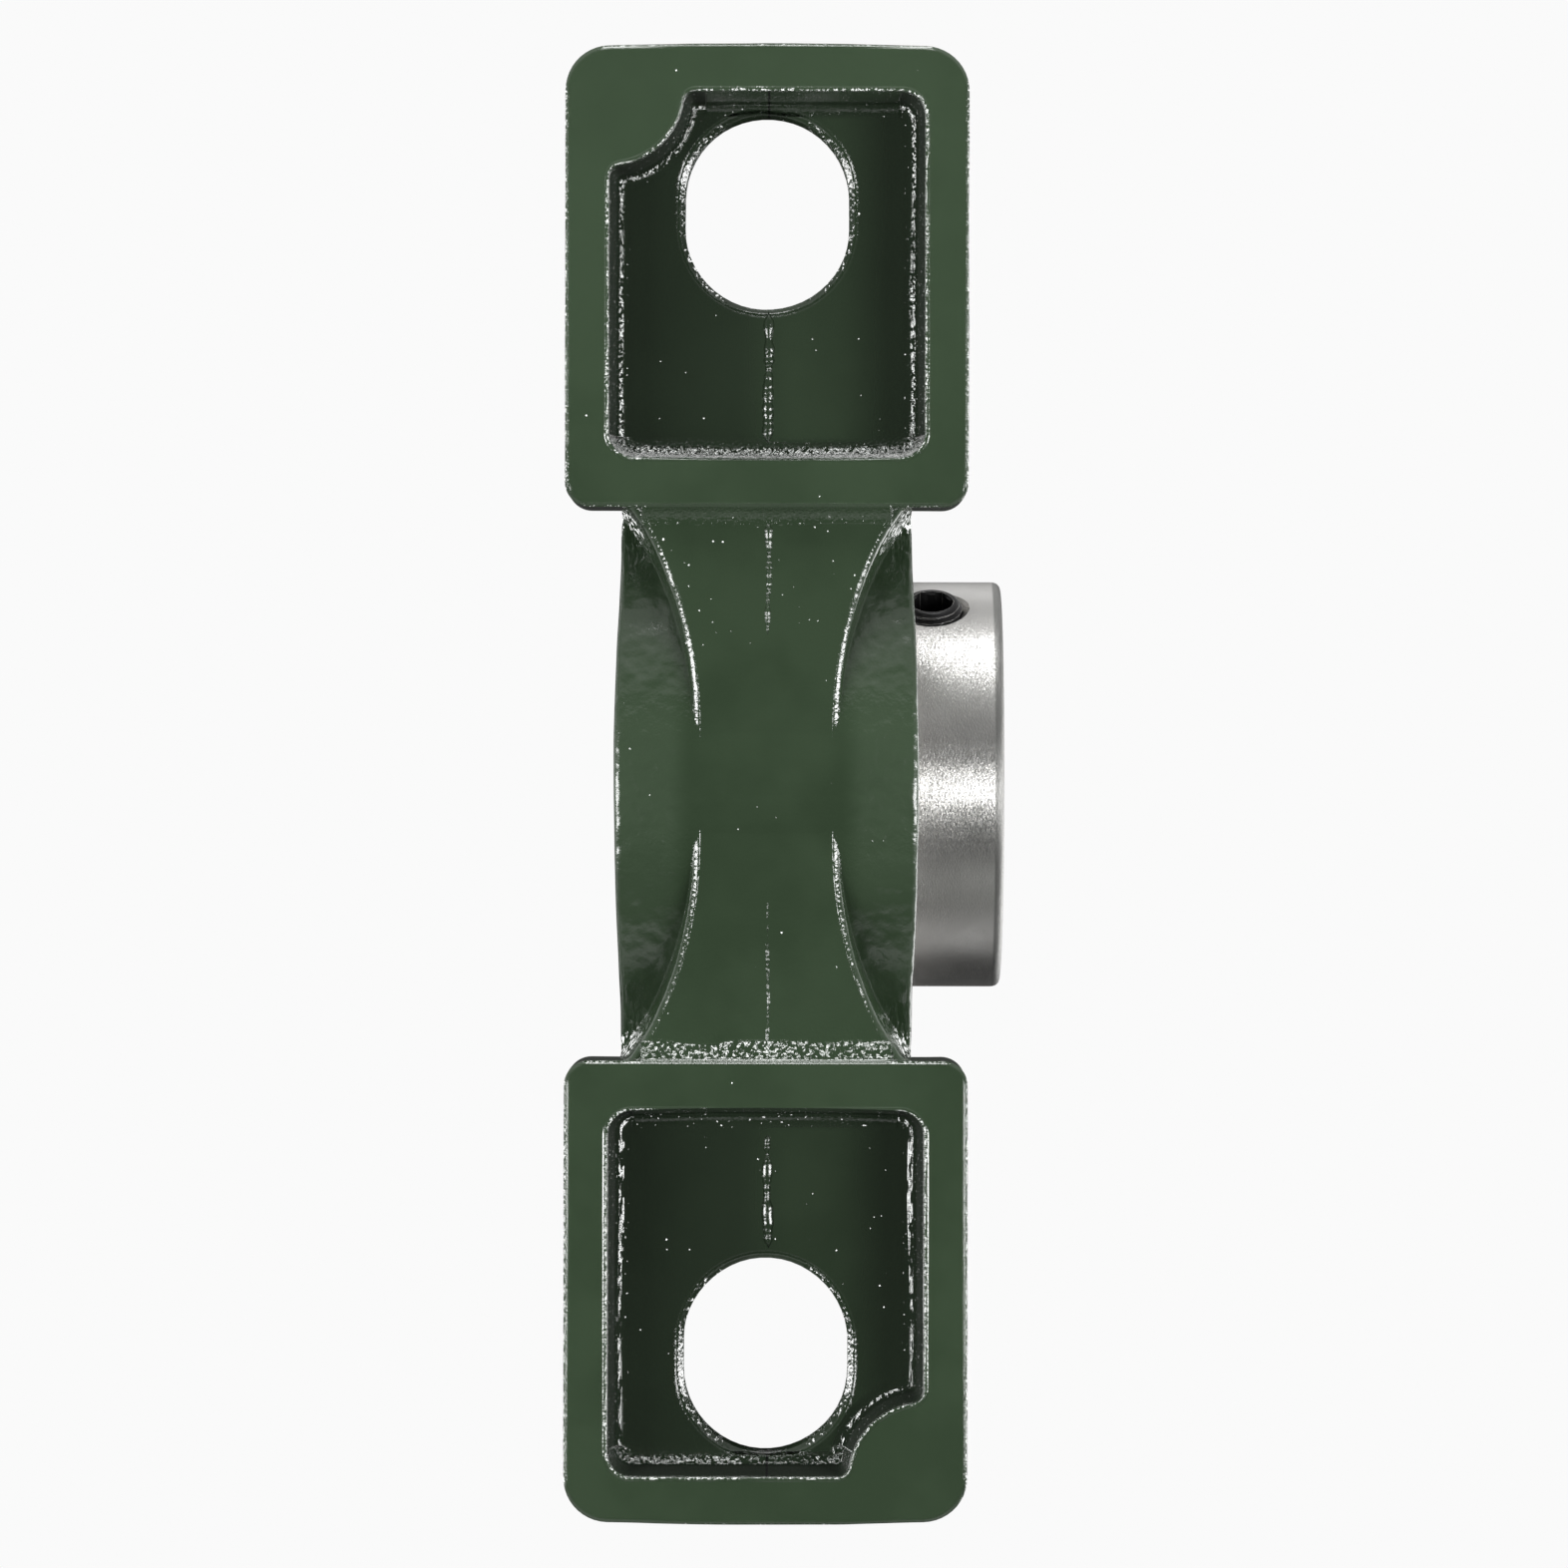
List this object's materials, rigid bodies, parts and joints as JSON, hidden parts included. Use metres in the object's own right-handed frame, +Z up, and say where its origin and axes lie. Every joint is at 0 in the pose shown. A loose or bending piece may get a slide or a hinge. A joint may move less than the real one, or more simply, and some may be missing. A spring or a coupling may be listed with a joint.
{
  "type": "pillow block bearing",
  "caption": "Cast-iron pillow block on two hollow slotted feet, with a self-aligning sealed ball bearing insert that set screws hold on the shaft.",
  "frame": {"origin": "bearing centre, where the shaft axis crosses the housing's mid-plane, 49.2 mm above the base", "axes": "+Z up, +Y along the shaft away from the set-screw side, +X along the base"},
  "size_m": [0.184, 0.0553, 0.1061],
  "materials": {
    "green_paint": "gloss dark green paint over a sand casting",
    "ground_steel": "ground and satin",
    "polished_steel": "lapped",
    "pressed_steel": "pressed sheet",
    "zinc_steel": "bright zinc plate",
    "black_oxide": "oiled black oxide",
    "nitrile": "black rubber"
  },
  "bodies": {
    "housing": {"housing": "green_paint", "nipple_body": "zinc_steel", "nipple_spring": "pressed_steel"},
    "nipple_ball": {"nipple_ball": "polished_steel"},
    "lock_pin": {"lock_pin": "ground_steel"},
    "outer_ring": {"outer_ring": "ground_steel", "seal_core_front": "pressed_steel", "seal_core_back": "pressed_steel", "seal_front": "nitrile", "seal_back": "nitrile"},
    "inner_ring": {"inner_ring": "ground_steel", "flinger_front": "zinc_steel", "flinger_back": "zinc_steel"},
    "set_screw_top": {"set_screw_top": "black_oxide"},
    "set_screw_low": {"set_screw_low": "black_oxide"},
    "cage": {"cage_front": "pressed_steel", "cage_back": "pressed_steel", "cage_rivets": "pressed_steel"},
    "ball_1": {"ball_1": "polished_steel"},
    "ball_2": {"ball_2": "polished_steel"},
    "ball_3": {"ball_3": "polished_steel"},
    "ball_4": {"ball_4": "polished_steel"},
    "ball_5": {"ball_5": "polished_steel"},
    "ball_6": {"ball_6": "polished_steel"},
    "ball_7": {"ball_7": "polished_steel"},
    "ball_8": {"ball_8": "polished_steel"},
    "ball_9": {"ball_9": "polished_steel"}
  },
  "joints": [
    {"name": "ring_swing", "type": "hinge", "parent": "housing", "child": "lock_pin", "pos_m": [0, 0, 0], "axis": [0, 0, 1], "range_deg": [-2, 2]},
    {"name": "ring_tilt", "type": "hinge", "parent": "lock_pin", "child": "outer_ring", "pos_m": [0, 0, 0], "axis": [1, 0, 0], "range_deg": [-2, 2]},
    {"name": "shaft_spin", "type": "hinge", "parent": "outer_ring", "child": "inner_ring", "pos_m": [0, 0, 0], "axis": [0, 1, 0], "continuous": true},
    {"name": "cage_turn", "type": "hinge", "parent": "outer_ring", "child": "cage", "pos_m": [0, 0, 0], "axis": [0, 1, 0], "continuous": true},
    {"name": "screw_top_travel", "type": "slide", "parent": "inner_ring", "child": "set_screw_top", "axis": [0, 0, 1], "range_m": [-0.001, 0.003]},
    {"name": "screw_low_travel", "type": "slide", "parent": "inner_ring", "child": "set_screw_low", "axis": [-0.866, 0, -0.5], "range_m": [-0.001, 0.003]},
    {"name": "nipple_ball_travel", "type": "slide", "parent": "housing", "child": "nipple_ball", "axis": [0, 0, -1], "range_m": [0, 0.001], "stiffness_N_per_m": 600, "springref_m": -0.001, "deforming": ["nipple_spring"]},
    {"name": "ball_1_roll", "type": "hinge", "parent": "cage", "child": "ball_1", "pos_m": [0, 0, 0.03], "axis": [0, 1, 0], "continuous": true},
    {"name": "ball_2_roll", "type": "hinge", "parent": "cage", "child": "ball_2", "pos_m": [-0.01928, 0, 0.02298], "axis": [0, 1, 0], "continuous": true},
    {"name": "ball_3_roll", "type": "hinge", "parent": "cage", "child": "ball_3", "pos_m": [-0.02954, 0, 0.00521], "axis": [0, 1, 0], "continuous": true},
    {"name": "ball_4_roll", "type": "hinge", "parent": "cage", "child": "ball_4", "pos_m": [-0.02598, 0, -0.015], "axis": [0, 1, 0], "continuous": true},
    {"name": "ball_5_roll", "type": "hinge", "parent": "cage", "child": "ball_5", "pos_m": [-0.01026, 0, -0.02819], "axis": [0, 1, 0], "continuous": true},
    {"name": "ball_6_roll", "type": "hinge", "parent": "cage", "child": "ball_6", "pos_m": [0.01026, 0, -0.02819], "axis": [0, 1, 0], "continuous": true},
    {"name": "ball_7_roll", "type": "hinge", "parent": "cage", "child": "ball_7", "pos_m": [0.02598, 0, -0.015], "axis": [0, 1, 0], "continuous": true},
    {"name": "ball_8_roll", "type": "hinge", "parent": "cage", "child": "ball_8", "pos_m": [0.02954, 0, 0.00521], "axis": [0, 1, 0], "continuous": true},
    {"name": "ball_9_roll", "type": "hinge", "parent": "cage", "child": "ball_9", "pos_m": [0.01928, 0, 0.02298], "axis": [0, 1, 0], "continuous": true}
  ],
  "couplings": [
    {"joint": "cage_turn", "follows": "shaft_spin", "ratio": 0.40078},
    {"joint": "ball_1_roll", "follows": "shaft_spin", "ratio": -2.4205},
    {"joint": "ball_2_roll", "follows": "shaft_spin", "ratio": -2.4205},
    {"joint": "ball_3_roll", "follows": "shaft_spin", "ratio": -2.4205},
    {"joint": "ball_4_roll", "follows": "shaft_spin", "ratio": -2.4205},
    {"joint": "ball_5_roll", "follows": "shaft_spin", "ratio": -2.4205},
    {"joint": "ball_6_roll", "follows": "shaft_spin", "ratio": -2.4205},
    {"joint": "ball_7_roll", "follows": "shaft_spin", "ratio": -2.4205},
    {"joint": "ball_8_roll", "follows": "shaft_spin", "ratio": -2.4205},
    {"joint": "ball_9_roll", "follows": "shaft_spin", "ratio": -2.4205}
  ]
}
